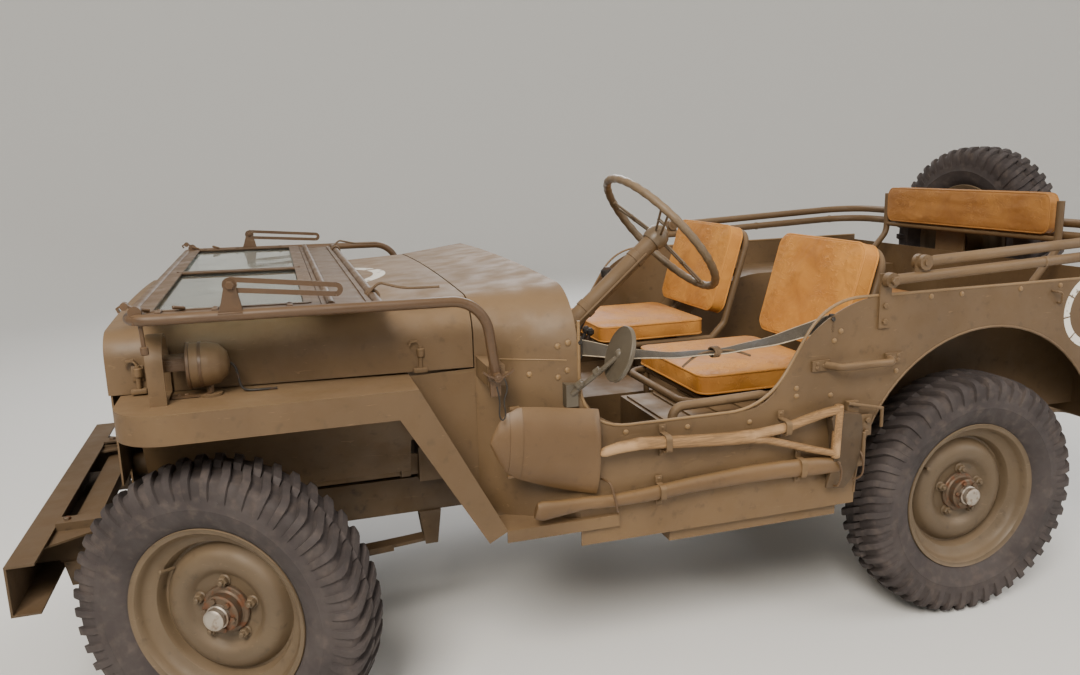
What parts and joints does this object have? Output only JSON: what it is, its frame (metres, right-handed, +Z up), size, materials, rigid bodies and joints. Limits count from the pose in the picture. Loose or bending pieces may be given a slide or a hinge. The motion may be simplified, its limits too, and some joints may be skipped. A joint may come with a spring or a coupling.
{
  "type": "light four-wheel-drive army car",
  "caption": "Open light army car with folded windscreen, canvas seats, hood bows folded at the tail, spare wheel and side tools; its wheels roll and steer.",
  "frame": {"origin": "on the ground, under the middle of the car's length and width", "axes": "+X forwards along the car, +Y to the car's left, +Z up"},
  "size_m": [3.34, 1.7111, 1.374],
  "materials": {
    "body_paint": "matte",
    "chassis_paint": "matte",
    "engine_paint": "satin",
    "exhaust_steel": "matte",
    "tyre_rubber": "matte",
    "canvas": "matte",
    "webbing": "matte",
    "window_glass": "gloss",
    "black_rim": "satin",
    "tool_wood": "painted",
    "lever_steel": "satin"
  },
  "bodies": {
    "chassis": {"frame_rails": "chassis_paint", "front_bumper": "chassis_paint", "springs": "chassis_paint", "front_axle": "chassis_paint", "rear_axle": "chassis_paint", "cowl": "body_paint", "dash": "body_paint", "side_panel_left": "body_paint", "side_panel_right": "body_paint", "floor": "body_paint", "wheelhouses": "body_paint", "tail_panel": "body_paint", "fuel_tank": "body_paint", "bonnet": "body_paint", "grille": "body_paint", "lamps": "body_paint", "fender_left": "body_paint", "fender_right": "body_paint", "engine": "engine_paint", "driveline": "chassis_paint", "exhaust": "exhaust_steel", "hinge_brackets": "body_paint", "steering_column": "body_paint", "driver_pads": "canvas", "seat_frames": "body_paint", "bench_cushion": "canvas", "tools": "tool_wood", "body_fittings": "body_paint", "mirror": "body_paint", "controls": "lever_steel", "safety_strap": "webbing", "spare_wheel": "chassis_paint", "spare_tyre": "tyre_rubber"},
    "knuckle_left": {"knuckle_left": "chassis_paint"},
    "knuckle_right": {"knuckle_right": "chassis_paint"},
    "wheel_fl": {"wheel_fl": "chassis_paint", "tyre_fl": "tyre_rubber"},
    "wheel_fr": {"wheel_fr": "chassis_paint", "tyre_fr": "tyre_rubber"},
    "wheel_rl": {"wheel_rl": "chassis_paint", "tyre_rl": "tyre_rubber"},
    "wheel_rr": {"wheel_rr": "chassis_paint", "tyre_rr": "tyre_rubber"},
    "centre_crank": {"centre_crank": "chassis_paint"},
    "tie_rod_left": {"tie_rod_left": "chassis_paint"},
    "tie_rod_right": {"tie_rod_right": "chassis_paint"},
    "drag_link": {"drag_link": "chassis_paint"},
    "pitman_arm": {"pitman_arm": "chassis_paint"},
    "steering_wheel": {"steering_wheel": "black_rim"},
    "windscreen": {"screen_frame": "body_paint", "screen_glass": "window_glass"},
    "low_bow": {"low_bow": "body_paint"},
    "high_bow": {"high_bow": "body_paint"},
    "passenger_seat": {"passenger_pads": "canvas", "passenger_seat_frame": "body_paint"},
    "rear_seat_back": {"bench_back": "canvas", "bench_back_frame": "body_paint"}
  },
  "joints": [
    {"name": "steer_left", "type": "hinge", "parent": "chassis", "child": "knuckle_left", "pos_m": [1.165, 0.525, 0.364], "axis": [0, 0, 1], "range_deg": [0, 56]},
    {"name": "steer_right", "type": "hinge", "parent": "chassis", "child": "knuckle_right", "pos_m": [1.165, -0.525, 0.364], "axis": [0, 0, 1], "range_deg": [0, 56]},
    {"name": "crank_turn", "type": "hinge", "parent": "chassis", "child": "centre_crank", "pos_m": [1.315, 0, 0.385], "axis": [0, 0, 1], "range_deg": [0, 56]},
    {"name": "tie_left_pin", "type": "hinge", "parent": "centre_crank", "child": "tie_rod_left", "pos_m": [1.465, -0.04805, 0.362], "axis": [0, 0, 1], "range_deg": [-56, 0]},
    {"name": "tie_right_pin", "type": "hinge", "parent": "centre_crank", "child": "tie_rod_right", "pos_m": [1.43871, -0.09749, 0.362], "axis": [0, 0, 1], "range_deg": [-56, 0]},
    {"name": "drag_pin", "type": "hinge", "parent": "centre_crank", "child": "drag_link", "pos_m": [1.36758, 0.09889, 0.419], "axis": [0, 0, 1], "range_deg": [-56, 0]},
    {"name": "pitman_swing", "type": "hinge", "parent": "chassis", "child": "pitman_arm", "pos_m": [0.653, 0.291, 0.63265], "axis": [0, 1, 0], "range_deg": [0, 27.6]},
    {"name": "steering_wheel_turn", "type": "hinge", "parent": "chassis", "child": "steering_wheel", "pos_m": [-0.008, 0.37, 1.16], "axis": [-0.7547, 0, 0.6561], "range_deg": [0, 728]},
    {"name": "roll_fl", "type": "hinge", "parent": "knuckle_left", "child": "wheel_fl", "pos_m": [1.21077, 0.61109, 0.364], "axis": [0.4695, 0.8829, 0], "continuous": true},
    {"name": "roll_fr", "type": "hinge", "parent": "knuckle_right", "child": "wheel_fr", "pos_m": [1.11923, -0.61109, 0.364], "axis": [0.4695, 0.8829, 0], "continuous": true},
    {"name": "roll_rl", "type": "hinge", "parent": "chassis", "child": "wheel_rl", "pos_m": [-0.867, 0.6225, 0.364], "axis": [0, 1, 0], "continuous": true},
    {"name": "roll_rr", "type": "hinge", "parent": "chassis", "child": "wheel_rr", "pos_m": [-0.867, -0.6225, 0.364], "axis": [0, 1, 0], "continuous": true},
    {"name": "windscreen_fold", "type": "hinge", "parent": "chassis", "child": "windscreen", "pos_m": [0.575, 0, 0.89], "axis": [0, -1, 0], "range_deg": [0, 95]},
    {"name": "low_bow_raise", "type": "hinge", "parent": "chassis", "child": "low_bow", "pos_m": [-0.485, 0, 1.042], "axis": [0, 1, 0], "range_deg": [0, 75]},
    {"name": "high_bow_raise", "type": "hinge", "parent": "low_bow", "child": "high_bow", "pos_m": [-0.58, 0, 1.084], "axis": [0, 1, 0], "range_deg": [0, 60]},
    {"name": "passenger_seat_tip", "type": "hinge", "parent": "chassis", "child": "passenger_seat", "pos_m": [-0.053, -0.372, 0.5513], "axis": [0, 1, 0], "range_deg": [0, 60]},
    {"name": "rear_back_fold", "type": "hinge", "parent": "chassis", "child": "rear_seat_back", "pos_m": [-1.305, 0, 0.918], "axis": [0, 1, 0], "range_deg": [0, 85]}
  ],
  "couplings": [
    {"joint": "steer_right", "follows": "steer_left", "ratio": 1},
    {"joint": "crank_turn", "follows": "steer_left", "ratio": 1},
    {"joint": "tie_left_pin", "follows": "steer_left", "ratio": -1},
    {"joint": "tie_right_pin", "follows": "steer_left", "ratio": -1},
    {"joint": "drag_pin", "follows": "steer_left", "ratio": -1},
    {"joint": "pitman_swing", "follows": "steer_left", "ratio": 0.49286},
    {"joint": "steering_wheel_turn", "follows": "steer_left", "ratio": 13}
  ]
}
